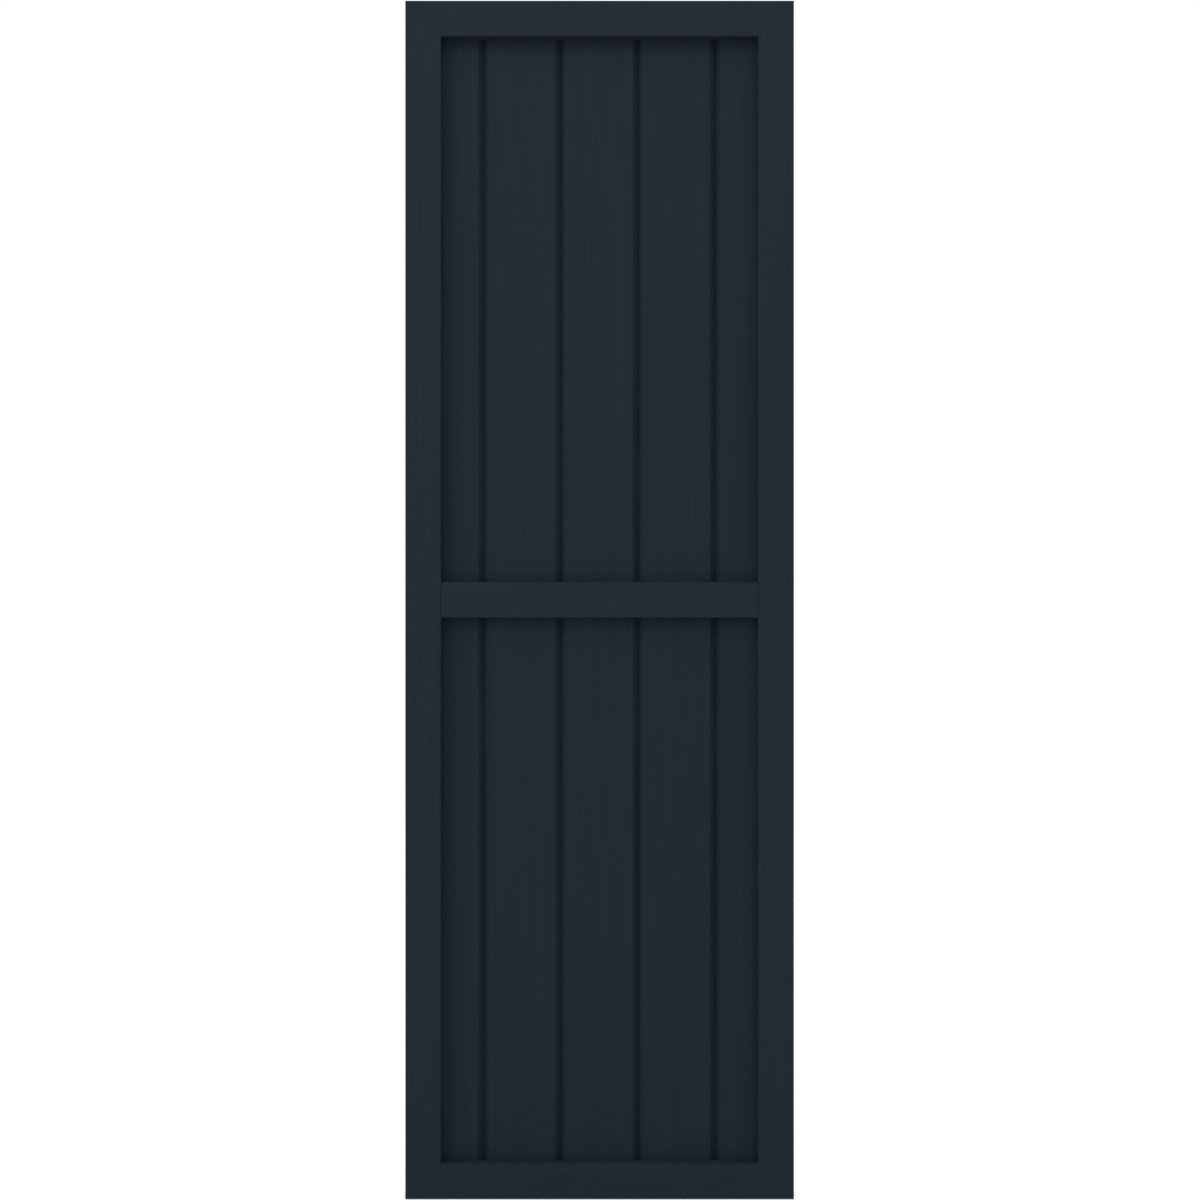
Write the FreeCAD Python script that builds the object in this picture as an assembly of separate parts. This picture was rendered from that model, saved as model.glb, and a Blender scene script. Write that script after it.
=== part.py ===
import FreeCAD, Part
import os

# Board and batten shutter in millimetres: upright boards, tongued and grooved edge to edge,
# behind a mitred face frame with a middle rail.
# As the face is seen, X runs to the right, Z up and Y into the wall.
# The origin is the middle of the back, so the back lies at Y = 0 and the face looks along -Y.

# Overall size
shutter_width = 304.8
shutter_height = 939.8

# Boards, from left to right, which share the width equally and meet shoulder to shoulder
board_names = ["far_left_board", "left_board", "centre_board", "right_board", "far_right_board"]
board_thickness = 19.05
vee_depth = 4.4  # 45 degree bevel on each front edge that meets a neighbour
tongue_thickness = 6.35
tongue_length = 6.0
tongue_lead = 1.0  # bevel on the tip of the tongue
tongue_clearance = 0.25  # on each flat of the tongue and ahead of its tip

# Face frame, fixed flat on the boards
frame_thickness = 9.525
stile_face = 28.0
rail_face = 28.0
middle_rail_face = 28.0
edge_radius = 0.8  # rounding of the long front edges

# Places that follow from the sizes above
half_width = shutter_width / 2
half_height = shutter_height / 2
board_pitch = shutter_width / len(board_names)
board_front = -board_thickness
tongue_middle = -(board_thickness - vee_depth) / 2
groove_width = tongue_thickness + 2 * tongue_clearance
groove_depth = tongue_length + tongue_clearance
stile_inner = half_width - stile_face
rail_inner = half_height - rail_face

across = FreeCAD.Vector(1, 0, 0)
outward = FreeCAD.Vector(0, -1, 0)
upward = FreeCAD.Vector(0, 0, 1)


def plain_edge(x):
    # From the front face to the back, on the shutter's own side
    return [(x, board_front), (x, 0)]


def grooved_edge(x):
    # From the front face, down the bevel and round the groove, to the back
    near = tongue_middle - groove_width / 2
    far = tongue_middle + groove_width / 2
    return [
        (x + vee_depth, board_front),
        (x, board_front + vee_depth),
        (x, near),
        (x + groove_depth, near),
        (x + groove_depth, far),
        (x, far),
        (x, 0),
    ]


def tongued_edge(x):
    # From the front face, down the bevel and round the tongue, to the back
    near = tongue_middle - tongue_thickness / 2
    far = tongue_middle + tongue_thickness / 2
    tip = x + tongue_length
    return [
        (x - vee_depth, board_front),
        (x, board_front + vee_depth),
        (x, near),
        (tip - tongue_lead, near),
        (tip, near + tongue_lead),
        (tip, far - tongue_lead),
        (tip - tongue_lead, far),
        (x, far),
        (x, 0),
    ]


def prism(corners, run):
    outline = Part.makePolygon(corners + corners[:1])
    return Part.Face(outline).extrude(run)


def board(place):
    # One board: its cross-section, run up the full height
    left = place * board_pitch - half_width
    right = left + board_pitch
    if place == 0:
        left_edge = plain_edge(left)
    else:
        left_edge = grooved_edge(left)
    if place == len(board_names) - 1:
        right_edge = plain_edge(right)
    else:
        right_edge = tongued_edge(right)
    section = left_edge + right_edge[::-1]
    corners = [FreeCAD.Vector(x, y, -half_height) for x, y in section]
    return prism(corners, upward * shutter_height)


def eased_bar(corner, side, face, run):
    # A bar on the boards: a face-wide section with rounded front edges, extruded along run
    def at(reach, proud):
        return corner + side * reach + outward * proud

    bend = edge_radius * (1 - 0.5 ** 0.5)  # how far the middle of a quarter round stands in
    straight = frame_thickness - edge_radius
    last_arc = Part.Arc(
        at(face, straight),
        at(face - bend, frame_thickness - bend),
        at(face - edge_radius, frame_thickness),
    )
    first_arc = Part.Arc(
        at(edge_radius, frame_thickness),
        at(bend, frame_thickness - bend),
        at(0, straight),
    )
    sides = [
        Part.LineSegment(at(0, 0), at(face, 0)),
        Part.LineSegment(at(face, 0), at(face, straight)),
        last_arc,
        Part.LineSegment(at(face - edge_radius, frame_thickness), at(edge_radius, frame_thickness)),
        first_arc,
        Part.LineSegment(at(0, straight), at(0, 0)),
    ]
    section = Part.Wire([side_curve.toShape() for side_curve in sides])
    return Part.Face(section).extrude(run)


def face_point(x, z):
    return FreeCAD.Vector(x, board_front, z)


def mitred(bar, corners):
    # Trims the ends of a bar to the mitres, from each outer corner to its inner corner
    return bar.common(prism(corners, outward * frame_thickness)).Solids[0]


def stile(hand):
    # hand is -1 for the left stile and 1 for the right one
    outer = hand * half_width
    inner = hand * stile_inner
    bar = eased_bar(face_point(outer, -half_height), across * -hand, stile_face, upward * shutter_height)
    corners = [
        face_point(outer, -half_height),
        face_point(outer, half_height),
        face_point(inner, rail_inner),
        face_point(inner, -rail_inner),
    ]
    return mitred(bar, corners)


def rail(hand):
    # hand is -1 for the bottom rail and 1 for the top one
    outer = hand * half_height
    inner = hand * rail_inner
    bar = eased_bar(face_point(-half_width, outer), upward * -hand, rail_face, across * shutter_width)
    corners = [
        face_point(-half_width, outer),
        face_point(half_width, outer),
        face_point(stile_inner, inner),
        face_point(-stile_inner, inner),
    ]
    return mitred(bar, corners)


def middle_rail():
    # Cut square and butted between the stiles
    start = face_point(-stile_inner, -middle_rail_face / 2)
    return eased_bar(start, upward, middle_rail_face, across * 2 * stile_inner)


pieces = {name: board(place) for place, name in enumerate(board_names)}
pieces["left_stile"] = stile(-1)
pieces["right_stile"] = stile(1)
pieces["top_rail"] = rail(1)
pieces["bottom_rail"] = rail(-1)
pieces["middle_rail"] = middle_rail()

os.makedirs("parts", exist_ok=True)
for name, shape in pieces.items():
    shape.exportStep(f"parts/{name}.step")
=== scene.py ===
import math
import random

import bmesh
import bpy
from mathutils import Matrix, Vector


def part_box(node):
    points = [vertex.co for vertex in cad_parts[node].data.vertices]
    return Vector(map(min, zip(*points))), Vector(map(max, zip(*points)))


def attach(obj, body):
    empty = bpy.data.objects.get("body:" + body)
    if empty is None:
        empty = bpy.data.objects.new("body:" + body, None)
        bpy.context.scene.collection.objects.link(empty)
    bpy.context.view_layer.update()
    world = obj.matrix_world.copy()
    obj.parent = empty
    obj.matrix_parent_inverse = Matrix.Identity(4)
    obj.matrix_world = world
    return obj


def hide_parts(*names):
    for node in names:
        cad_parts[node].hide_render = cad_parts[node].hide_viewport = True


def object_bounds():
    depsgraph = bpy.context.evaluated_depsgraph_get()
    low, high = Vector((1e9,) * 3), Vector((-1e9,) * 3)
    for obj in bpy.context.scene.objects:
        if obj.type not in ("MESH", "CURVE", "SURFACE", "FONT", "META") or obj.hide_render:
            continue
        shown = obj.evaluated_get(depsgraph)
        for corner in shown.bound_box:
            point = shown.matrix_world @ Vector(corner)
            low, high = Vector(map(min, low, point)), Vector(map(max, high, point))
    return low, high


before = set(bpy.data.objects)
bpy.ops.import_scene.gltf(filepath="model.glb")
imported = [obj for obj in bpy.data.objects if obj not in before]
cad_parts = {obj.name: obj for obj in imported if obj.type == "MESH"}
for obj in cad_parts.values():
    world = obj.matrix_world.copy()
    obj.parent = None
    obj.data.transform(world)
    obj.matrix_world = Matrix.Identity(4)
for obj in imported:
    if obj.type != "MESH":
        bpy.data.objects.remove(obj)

# Board and batten shutter, in metres: painted boards behind a mitred face frame, screwed from the back
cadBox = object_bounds()
boardNodes = ("far_left_board", "left_board", "centre_board", "right_board", "far_right_board")
mm = 0.001
touching = 0.001 * mm      # points nearer than this are one
random.seed(37)


# sRGB hex to the linear values that Blender's sockets take
def linear(hexColour, alpha=1.0):
    shares = [int(hexColour[i:i + 2], 16) / 255 for i in (1, 3, 5)]
    curve = [s / 12.92 if s <= 0.04045 else ((s + 0.055) / 1.055) ** 2.4 for s in shares]
    return (*curve, alpha)


white = linear("#ffffff")


# A node with its settings and links: a text key names a property or socket, a number picks a socket
def addNode(tree, kind, settings=None, links=None):
    node = tree.nodes.new(kind)
    for key, value in (settings or {}).items():
        if isinstance(key, str) and hasattr(node, key):
            setattr(node, key, value)
        else:
            node.inputs[key].default_value = value
    for key, source in (links or {}).items():
        tree.links.new(source, node.inputs[key])
    return node


def newMaterial(name):
    material = bpy.data.materials.new(name)
    material.use_nodes = True
    material.node_tree.nodes.clear()
    return material, material.node_tree


# Acrylic house paint, sprayed on planed softwood and dried to a flat film.
# To the eye: a dark blue grey with no shine, the growth rings only just telling through it.
paint = {
    # painted shade: the boards' colours are a shade darker than the frame's, standing in for the shade on
    # the boards set back behind the frame
    "boards": ("#222b34", "#1f2730"),       # the film, and where it sinks between the raised fibres
    "frame": ("#232c35", "#202831"),
    "roughness": 0.66,
    "roughnessSpread": 0.06,    # either way, from fibre to fibre
    "specular": 0.08,
    "logLength": 3.0,           # metres
    "pithAside": 50.0,          # mm, at most, from the shutter's middle to the heart of the log
    "pithAhead": (80.0, 150.0),     # mm from the back to the heart of the log, in front of the face
    "ringWidth": 6.0,           # mm from one growth ring to the next
    "ringWander": 0.1,          # change of the rings along the grain, as a share of that across it
    "fibreWidth": 0.5,          # mm, coarser than the real quarter millimetre, to show
    "fibreLength": 45.0,        # mm along the grain
    "peelSize": 0.9,            # mm across a bump of the sprayed film
    "earlyWood": 0.6,           # how much of the fibres shows between the rings
    "figure": (0.2, 0.7),       # strength of the grain where the film starts to sink, and where it is down
    "ringDepth": 0.04,          # mm
    "fibreDepth": 0.1,          # mm
    "peelDepth": 0.05,          # mm
}


def paintedWood(name, grainAxis, colours):
    material, tree = newMaterial(name)
    place = addNode(tree, "ShaderNodeTexCoord")
    piece = addNode(tree, "ShaderNodeObjectInfo")
    # each piece is cut from another place in the log
    nearest, furthest = (distance * mm for distance in paint["pithAhead"])
    aside = paint["pithAside"] * mm
    lowest = [-aside, nearest, -aside]
    highest = [aside, furthest, aside]
    grain = "XYZ".index(grainAxis)
    highest[grain] = paint["logLength"]
    shift = addNode(tree, "ShaderNodeMapRange", {"data_type": "FLOAT_VECTOR", 9: lowest, 10: highest},
                    {6: piece.outputs["Random"]})
    moved = addNode(tree, "ShaderNodeVectorMath", {"operation": "ADD"},
                    {0: place.outputs["Object"], 1: shift.outputs["Vector"]})

    def grainScale(across, lengthwise):
        scale = [across] * 3
        scale[grain] = lengthwise
        return scale

    trunk = addNode(tree, "ShaderNodeVectorMath",
                    {"operation": "MULTIPLY", 1: grainScale(1.0, paint["ringWander"])},
                    {0: moved.outputs[0]})
    period = 0.1 * math.pi      # from one ring of the node to the next, at scale 1
    rings = addNode(tree, "ShaderNodeTexWave",
                    {"wave_type": "RINGS", "rings_direction": grainAxis, "wave_profile": "SIN",
                     "Scale": period / (paint["ringWidth"] * mm), "Distortion": 9.0,
                     "Detail": 2.0, "Detail Scale": 0.6, "Detail Roughness": 0.55},
                    {"Vector": trunk.outputs[0]})
    fibreScale = grainScale(1 / (paint["fibreWidth"] * mm), 1 / (paint["fibreLength"] * mm))
    strands = addNode(tree, "ShaderNodeVectorMath", {"operation": "MULTIPLY", 1: fibreScale},
                      {0: moved.outputs[0]})
    fibres = addNode(tree, "ShaderNodeTexNoise",
                     {"Scale": 1.0, "Detail": 3.0, "Roughness": 0.6, "Distortion": 0.3},
                     {"Vector": strands.outputs[0]})
    peel = addNode(tree, "ShaderNodeTexNoise",
                   {"Scale": 1 / (paint["peelSize"] * mm), "Detail": 2.0},
                   {"Vector": moved.outputs[0]})
    season = addNode(tree, "ShaderNodeMapRange", {"To Min": paint["earlyWood"]},
                     {"Value": rings.outputs["Fac"]})
    figure = addNode(tree, "ShaderNodeMath", {"operation": "MULTIPLY"},
                     {0: season.outputs[0], 1: fibres.outputs[0]})
    faint, full = paint["figure"]
    share = addNode(tree, "ShaderNodeMapRange", {"From Min": faint, "From Max": full},
                    {"Value": figure.outputs[0]})
    colour = addNode(tree, "ShaderNodeMix",
                     {"data_type": "RGBA", 6: linear(colours[0]), 7: linear(colours[1])},
                     {0: share.outputs[0]})
    gloss = addNode(tree, "ShaderNodeMapRange",
                    {"To Min": paint["roughness"] - paint["roughnessSpread"],
                     "To Max": paint["roughness"] + paint["roughnessSpread"]},
                    {"Value": fibres.outputs[0]})
    film = addNode(tree, "ShaderNodeBump", {"Distance": paint["peelDepth"] * mm},
                   {"Height": peel.outputs[0]})
    lateWood = addNode(tree, "ShaderNodeBump", {"Distance": paint["ringDepth"] * mm},
                       {"Height": rings.outputs["Fac"], "Normal": film.outputs[0]})
    relief = addNode(tree, "ShaderNodeBump", {"Distance": paint["fibreDepth"] * mm},
                     {"Height": fibres.outputs[0], "Normal": lateWood.outputs[0]})
    surface = addNode(tree, "ShaderNodeBsdfPrincipled", {"Specular IOR Level": paint["specular"]},
                      {"Base Color": colour.outputs[2], "Roughness": gloss.outputs[0],
                       "Normal": relief.outputs[0]})
    addNode(tree, "ShaderNodeOutputMaterial", {}, {"Surface": surface.outputs[0]})
    return material


# the boards' copy carries painted shade: its colours are darker than the frame's
boardPaint = paintedWood("sprayedAcrylicOnPlanedBoards", "Z", paint["boards"])
stilePaint = paintedWood("sprayedAcrylicOnPlanedStiles", "Z", paint["frame"])
railPaint = paintedWood("sprayedAcrylicOnPlanedRails", "X", paint["frame"])
print("paint mixed")


# Stainless steel, cold headed and tumbled: a soft grey shine, a little uneven from the barrel
steel = {
    "colour": "#a3a29e",
    "roughness": 0.4,
    "roughnessSpread": 0.1,     # either way, from mark to mark
    "dingSize": 0.7,            # mm across a tumbling mark
    "dingDepth": 0.015,         # mm
}


def tumbledSteel():
    material, tree = newMaterial("tumbledStainlessSteel")
    place = addNode(tree, "ShaderNodeTexCoord")
    dings = addNode(tree, "ShaderNodeTexNoise", {"Scale": 1 / (steel["dingSize"] * mm), "Detail": 3.0},
                    {"Vector": place.outputs["Object"]})
    gloss = addNode(tree, "ShaderNodeMapRange",
                    {"To Min": steel["roughness"] - steel["roughnessSpread"],
                     "To Max": steel["roughness"] + steel["roughnessSpread"]},
                    {"Value": dings.outputs[0]})
    relief = addNode(tree, "ShaderNodeBump", {"Distance": steel["dingDepth"] * mm},
                     {"Height": dings.outputs[0]})
    surface = addNode(tree, "ShaderNodeBsdfPrincipled",
                      {"Base Color": linear(steel["colour"]), "Metallic": 1.0},
                      {"Roughness": gloss.outputs[0], "Normal": relief.outputs[0]})
    addNode(tree, "ShaderNodeOutputMaterial", {}, {"Surface": surface.outputs[0]})
    return material


# The pieces: each follows its solid, with the edges eased as sanding and paint leave them
easing = {
    "back": 1.0,            # mm, on the edges of a board's back
    "face": 0.5,            # mm, on the edges of its face and ends
    "sharpest": 40.0,       # degrees: a fold above this is an edge
    "level": 1.0,           # degrees: faces with a fold below this are one
    "segments": 3,
    "mitreWidth": 0.4,      # mm across the fine line that shows where a mitre meets
    "mitreDepth": 0.18,     # mm
}


# Joins points that touch, and faces that lie in one plane
def simplify(shape):
    bmesh.ops.remove_doubles(shape, verts=shape.verts, dist=touching)
    bmesh.ops.dissolve_limit(shape, angle_limit=math.radians(easing["level"]),
                             verts=shape.verts, edges=shape.edges)


# Puts a shape's parts in order of place: a bevel leaves them in one that changes from run to run
def sortParts(shape):
    places = [
        (shape.verts, lambda vert: vert.co),
        (shape.edges, lambda edge: edge.verts[0].co + edge.verts[1].co),
        (shape.faces, lambda face: face.calc_center_median()),
    ]
    for parts, place in places:
        inOrder = sorted(parts, key=lambda part: place(part)[:])
        for index, part in enumerate(inOrder):
            part.index = index
        parts.sort()


# Ends the work on a shape: its faces look outwards, and it becomes a mesh
def meshFrom(shape, name):
    bmesh.ops.recalc_face_normals(shape, faces=shape.faces)
    mesh = bpy.data.meshes.new(name)
    shape.to_mesh(mesh)
    shape.free()
    return mesh


# Takes the cutter's space out of a mesh
def cutAway(mesh, cutterMesh):
    solid = bpy.data.objects.new("beingCut", mesh)
    cutter = bpy.data.objects.new("cutter", cutterMesh)
    for thing in (solid, cutter):
        bpy.context.scene.collection.objects.link(thing)
    cut = solid.modifiers.new("cut", "BOOLEAN")
    cut.operation = "DIFFERENCE"
    cut.solver = "EXACT"
    cut.object = cutter
    graph = bpy.context.evaluated_depsgraph_get()
    shape = bmesh.new()
    shape.from_mesh(solid.evaluated_get(graph).data)
    for thing in (solid, cutter):
        bpy.data.objects.remove(thing)
    simplify(shape)
    return meshFrom(shape, mesh.name)


# Shades a mesh smooth between its edges, gives it its finish and sets it on the body
def finishPiece(mesh, name, material, node=None):
    if "custom_normal" in mesh.attributes:      # the bare solid's, which no longer fit
        mesh.attributes.remove(mesh.attributes["custom_normal"])
    mesh.materials.append(material)
    mesh.shade_smooth()
    mesh.set_sharp_from_angle(angle=math.radians(easing["sharpest"]))
    piece = bpy.data.objects.new(name, mesh)
    bpy.context.scene.collection.objects.link(piece)
    evened = piece.modifiers.new("evenFaces", "WEIGHTED_NORMAL")
    evened.keep_sharp = True
    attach(piece, "root")
    if node:
        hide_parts(node)


# A copy of a solid, ready to be worked
def bareSolid(node):
    shape = bmesh.new()
    shape.from_mesh(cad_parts[node].data)
    simplify(shape)
    return shape


# Eases a board's outer edges and sinks its screws: edges inside the joints stay sharp
def makeBoard(node, screws):
    low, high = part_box(node)
    shape = bareSolid(node)

    # a plane is an axis, by number, and the level on it
    def ease(planes, radius):
        fold = math.radians(easing["sharpest"])
        sharp = [e for e in shape.edges if e.is_convex and e.calc_face_angle(0.0) > fold]
        outer = [e for e in sharp if any(all(abs(v.co[axis] - level) < touching for v in e.verts)
                                         for axis, level in planes)]
        bmesh.ops.bevel(shape, geom=outer, offset=radius * mm, offset_type="OFFSET", affect="EDGES",
                        segments=easing["segments"], profile=0.5, clamp_overlap=True)

    ease([(1, high.y)], easing["back"])
    ease([(1, low.y), (2, low.z), (2, high.z)], easing["face"])
    sortParts(shape)
    mesh = cutAway(meshFrom(shape, node), sinkCutter(screws))
    finishPiece(mesh, node + "_painted", boardPaint, node)


# The four mitres, each from its outer corner to its inner one
def mitreLines():
    inner = Vector((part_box("right_stile")[0].x, 0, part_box("top_rail")[0].z))
    outer = Vector((cadBox[1].x, 0, cadBox[1].z))
    for x in (-1, 1):
        for z in (-1, 1):
            yield [Vector((x * corner.x, cadBox[0].y, z * corner.z)) for corner in (outer, inner)]


# V shaped rods along the mitres, sunk in the face
def mitreCutter():
    clear = 0.2 * mm        # how far the rods stand out of the face
    depth = easing["mitreDepth"] * mm
    half = easing["mitreWidth"] / 2 * mm * (1 + clear / depth)
    inward = Vector((0, 1, 0))
    shape = bmesh.new()
    for outer, inner in mitreLines():
        aside = (inner - outer).normalized().cross(inward) * half
        sections = [[shape.verts.new(end + offset) for offset in
                     (aside - inward * clear, inward * depth, -aside - inward * clear)]
                    for end in (outer, inner)]
        for section in sections:
            shape.faces.new(section)
        for i in range(3):
            j = (i + 1) % 3
            shape.faces.new((sections[0][i], sections[0][j], sections[1][j], sections[1][i]))
    return meshFrom(shape, "mitres")


# Scores a bar where it meets a mitre: the middle rail meets none and stays whole
def makeBar(node, material):
    mesh = cutAway(meshFrom(bareSolid(node), node), mitreCutter())
    finishPiece(mesh, node + "_painted", material, node)


# Screws driven from the back, through the boards and into the face frame
screw = {
    "headRadius": 4.1,      # mm
    "sunk": 0.25,           # mm from the boards' back to the flat of the head
    "rim": 0.25,            # mm, upright edge of the head
    "soften": 0.12,         # mm off the sharp edge of the flat
    "shankRadius": 1.9,     # mm
    "shankEnd": 7.5,        # mm from the back: the rest of the shank never shows
    "sinkRadius": 4.5,      # mm, mouth of the countersink
    "pilotRadius": 2.1,     # mm
    "pilotEnd": 8.0,        # mm from the back
    "slotReach": 2.3,       # mm from the middle of the cross in the head
    "slotWidth": 1.1,       # mm
    "slotDepth": 1.7,       # mm
    "slotFloor": (0.5, 0.75),   # share of that reach and width at the floor of the cross
    "stileHeights": (-0.9, -0.45, 0.0, 0.45, 0.9),      # share of the half height
    "steps": 32,            # sides of a round
}


# One row up each stile, and one screw into each rail from every board between
def screwPlaces():
    places = {}
    for board, stile in ((boardNodes[0], "left_stile"), (boardNodes[-1], "right_stile")):
        low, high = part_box(stile)
        places[board] = [((low.x + high.x) / 2, share * high.z) for share in screw["stileHeights"]]
    rails = [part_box(rail) for rail in ("bottom_rail", "middle_rail", "top_rail")]
    pitch = (cadBox[1].x - cadBox[0].x) / len(boardNodes)
    middle = len(boardNodes) // 2
    for step, board in enumerate(boardNodes[1:-1], 1 - middle):
        places[board] = [(step * pitch, (low.z + high.z) / 2) for low, high in rails]
    return places


# A round solid about the Y axis, from (radius, y) points in mm that start and end on the axis
def turn(shape, profile, x, z):
    steps = screw["steps"]
    rings = []
    for radius, y in profile:
        reach = radius * mm
        angles = [math.tau * i / steps for i in range(steps if radius else 1)]
        rings.append([shape.verts.new((x + reach * math.cos(a), y * mm, z + reach * math.sin(a)))
                      for a in angles])
    for near, far in zip(rings, rings[1:]):
        for i in range(steps):
            corners = [near[i % len(near)], near[(i + 1) % len(near)],
                       far[(i + 1) % len(far)], far[i % len(far)]]
            shape.faces.new(list(dict.fromkeys(corners)))


def sinkCutter(places):
    shape = bmesh.new()
    clear = 1.0     # mm that the cutter stands out of the back
    slope = screw["sinkRadius"] - screw["pilotRadius"]
    profile = [(0, clear), (screw["sinkRadius"] + clear, clear), (screw["pilotRadius"], -slope),
               (screw["pilotRadius"], -screw["pilotEnd"]), (0, -screw["pilotEnd"])]
    for x, z in places:
        turn(shape, profile, x, z)
    return meshFrom(shape, "sinks")


# The cross for the driver: it narrows towards its floor, as the driver's tip does
def crossCutter(top):
    clear = 0.1     # mm that the cutter stands out of the head
    quarters = ((1, 0), (0, 1), (-1, 0), (0, -1))       # cosine and sine of each arm's turn
    mouth = (top + clear, 1.0, 1.0)
    floor = (top - screw["slotDepth"], *screw["slotFloor"])
    shape = bmesh.new()
    levels = []
    for y, reachShare, widthShare in (mouth, floor):
        reach = screw["slotReach"] * reachShare
        half = screw["slotWidth"] / 2 * widthShare
        arm = ((half, half), (half, reach), (-half, reach))
        outline = [(c * x - s * z, s * x + c * z) for c, s in quarters for x, z in arm]
        levels.append([shape.verts.new((x * mm, y * mm, z * mm)) for x, z in outline])
    for level in levels:
        shape.faces.new(level)
    upper, lower = levels
    for i in range(len(upper)):
        j = (i + 1) % len(upper)
        shape.faces.new((upper[i], upper[j], lower[j], lower[i]))
    return meshFrom(shape, "cross")


def screwHead():
    top = -screw["sunk"]
    under = top - screw["rim"]
    cone = screw["headRadius"] - screw["shankRadius"]
    shape = bmesh.new()
    turn(shape, [(0, top), (screw["headRadius"] - screw["soften"], top),
                 (screw["headRadius"], top - screw["soften"]), (screw["headRadius"], under),
                 (screw["shankRadius"], under - cone), (screw["shankRadius"], -screw["shankEnd"]),
                 (0, -screw["shankEnd"])], 0, 0)
    return cutAway(meshFrom(shape, "head"), crossCutter(top))


def driveScrews(places):
    head = screwHead()
    shape = bmesh.new()
    for x, z in (spot for spots in places.values() for spot in spots):
        known = len(shape.verts)
        shape.from_mesh(head)
        shape.verts.ensure_lookup_table()
        seat = Matrix.Translation((x, 0, z)) @ Matrix.Rotation(random.uniform(0, math.tau), 4, "Y")
        bmesh.ops.transform(shape, matrix=seat, verts=shape.verts[known:])
    finishPiece(meshFrom(shape, "screws"), "back_screws", tumbledSteel())


screws = screwPlaces()
for node in boardNodes:
    makeBoard(node, screws[node])
print("boards eased")

for node in ("left_stile", "right_stile"):
    makeBar(node, stilePaint)
for node in ("top_rail", "bottom_rail", "middle_rail"):
    makeBar(node, railPaint)
print("face frame mitred")

driveScrews(screws)
print("back screws driven")


# Rays that show the background: straight to the camera, or by way of metal or glass
def shownRays(tree):
    path = addNode(tree, "ShaderNodeLightPath")
    seen = addNode(tree, "ShaderNodeMath", {"operation": "MAXIMUM"},
                   {0: path.outputs["Is Camera Ray"], 1: path.outputs["Is Glossy Ray"]})
    shown = addNode(tree, "ShaderNodeMath", {"operation": "MAXIMUM"},
                    {0: seen.outputs[0], 1: path.outputs["Is Transmission Ray"]})
    return shown.outputs[0]


# Studio paper, matt and pale: white to the camera except where the shutter takes the light
paper = {
    "size": 8.0,        # metres
    "colour": "#e6e6e6",
    "roughness": 0.9,
    "glow": 0.5,        # share of white, where it shows
    "below": 0.5,       # mm under the shutter's foot
}


def layFloor():
    material, tree = newMaterial("mattStudioPaper")
    glow = addNode(tree, "ShaderNodeMath", {"operation": "MULTIPLY", 1: paper["glow"]},
                   {0: shownRays(tree)})
    surface = addNode(tree, "ShaderNodeBsdfPrincipled",
                      {"Base Color": linear(paper["colour"]), "Roughness": paper["roughness"],
                       "Specular IOR Level": 0.0, "Emission Color": white},
                      {"Emission Strength": glow.outputs[0]})
    addNode(tree, "ShaderNodeOutputMaterial", {}, {"Surface": surface.outputs[0]})
    mesh = bpy.data.meshes.new("studioFloor")
    half = paper["size"] / 2
    corners = [(-half, -half, 0), (half, -half, 0), (half, half, 0), (-half, half, 0)]
    mesh.from_pydata(corners, [], [(0, 1, 2, 3)])
    mesh.materials.append(material)
    floor = bpy.data.objects.new("studioFloor", mesh)
    floor.location.z = cadBox[0].z - paper["below"] * mm
    bpy.context.scene.collection.objects.link(floor)


layFloor()

# Light: an even dome, with large soft lamps overhead and to the left, and one behind for the back
light = {
    "fill": 0.645,          # strength of the dome, where 1 is white
    "lampSize": 1.6,        # metres across
    "lamps": {              # place in metres, watts
        "overheadLamp": ((0.0, -1.0, 1.8), 9.2),
        "leftLamp": ((-1.8, -1.0, 0.6), 10.4),
        "backLamp": ((0.9, 2.0, 1.2), 14.0),
    },
}


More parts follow.
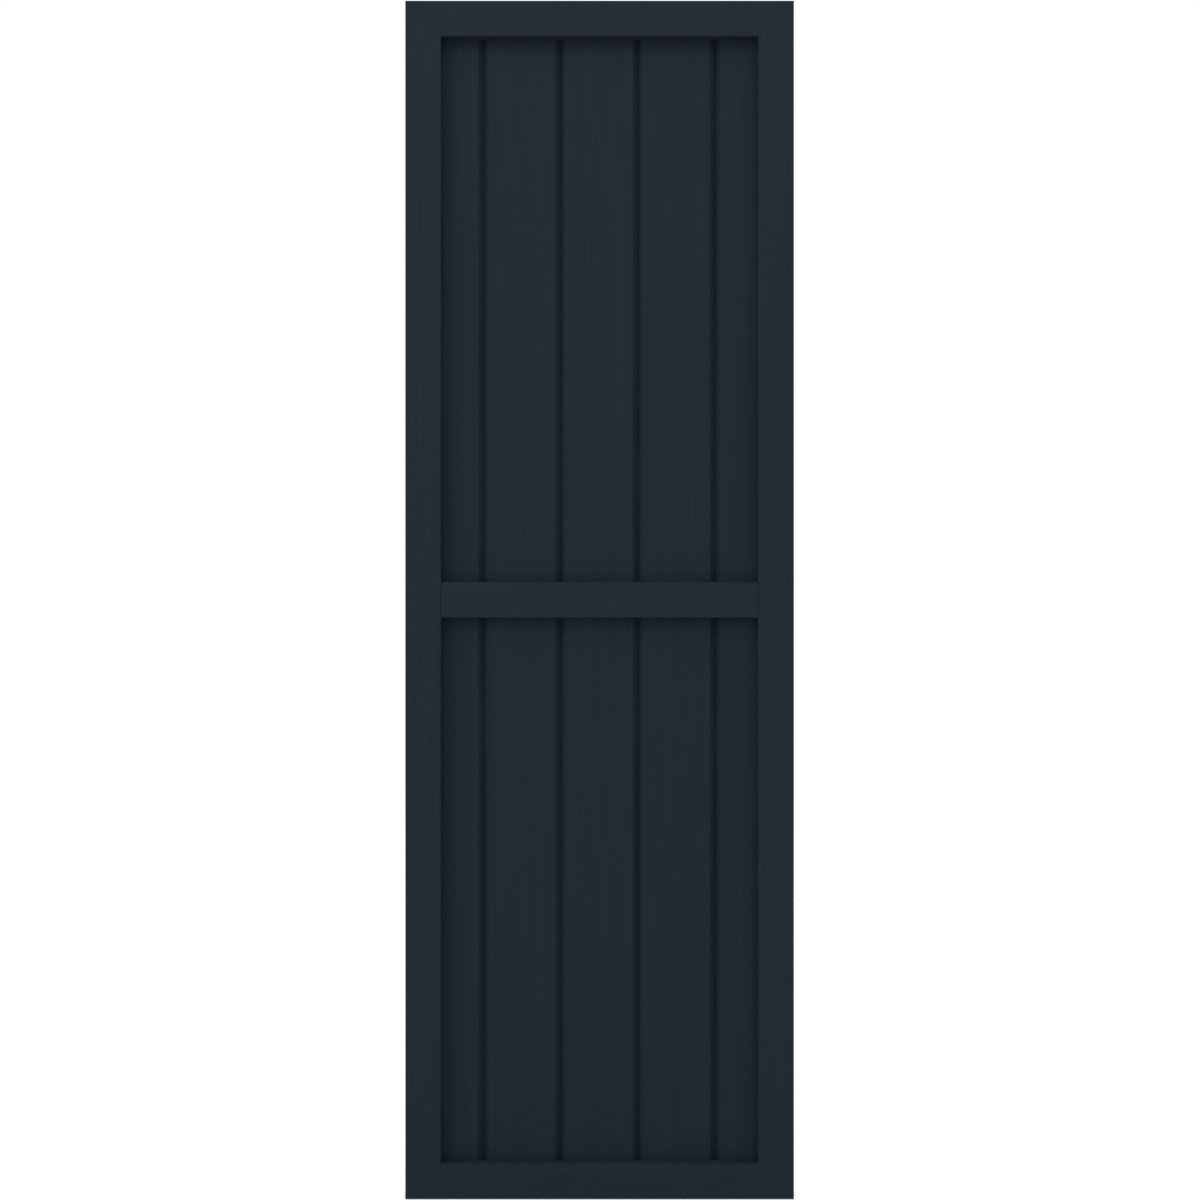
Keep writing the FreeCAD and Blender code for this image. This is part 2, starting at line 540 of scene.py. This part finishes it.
def lightStudio():
    world = bpy.data.worlds.new("softStudio")
    bpy.context.scene.world = world
    world.use_nodes = True
    tree = world.node_tree
    tree.nodes.clear()
    fill = addNode(tree, "ShaderNodeBackground", {"Color": white, "Strength": light["fill"]})
    backdrop = addNode(tree, "ShaderNodeBackground", {"Color": white, "Strength": 1.0})
    both = addNode(tree, "ShaderNodeMixShader", {},
                   {0: shownRays(tree), 1: fill.outputs[0], 2: backdrop.outputs[0]})
    addNode(tree, "ShaderNodeOutputWorld", {}, {"Surface": both.outputs[0]})

    for name, (place, power) in light["lamps"].items():
        lamp = bpy.data.lights.new(name, "AREA")
        lamp.shape = "DISK"
        lamp.size = light["lampSize"]
        lamp.energy = power
        stand = bpy.data.objects.new(name, lamp)
        stand.location = place
        stand.rotation_euler = (-stand.location).to_track_quat("-Z", "Y").to_euler()
        bpy.context.scene.collection.objects.link(stand)


lightStudio()
print("studio lit")


# Camera: level, straight at the face, as far off as the depth that shows under the top rail says
photo = {
    "frame": 1200.0,            # pixels, both ways
    "outlineLeft": 405.2,       # pixels, as are the other three sides of the shutter
    "outlineRight": 794.0,
    "outlineTop": 0.6,
    "outlineBottom": 1199.2,
    "distance": 1.536,          # metres from the face
    "sensor": 36.0,             # mm
}


def placeCamera():
    faceWidth = cadBox[1].x - cadBox[0].x
    pixel = faceWidth / (photo["outlineRight"] - photo["outlineLeft"])
    lens = bpy.data.cameras.new("frontCamera")
    lens.sensor_width = photo["sensor"]
    lens.lens = photo["sensor"] * photo["distance"] / (photo["frame"] * pixel)
    camera = bpy.data.objects.new("frontCamera", lens)
    middleX = (photo["outlineLeft"] + photo["outlineRight"]) / 2
    middleY = (photo["outlineTop"] + photo["outlineBottom"]) / 2
    lens.shift_x = (photo["frame"] / 2 - middleX) / photo["frame"]
    lens.shift_y = (middleY - photo["frame"] / 2) / photo["frame"]
    camera.location = (0, cadBox[0].y - photo["distance"], 0)
    camera.rotation_euler = (math.radians(90), 0, 0)
    bpy.context.scene.collection.objects.link(camera)
    bpy.context.scene.camera = camera


placeCamera()
bpy.context.scene.view_settings.view_transform = "Standard"
print("camera placed")
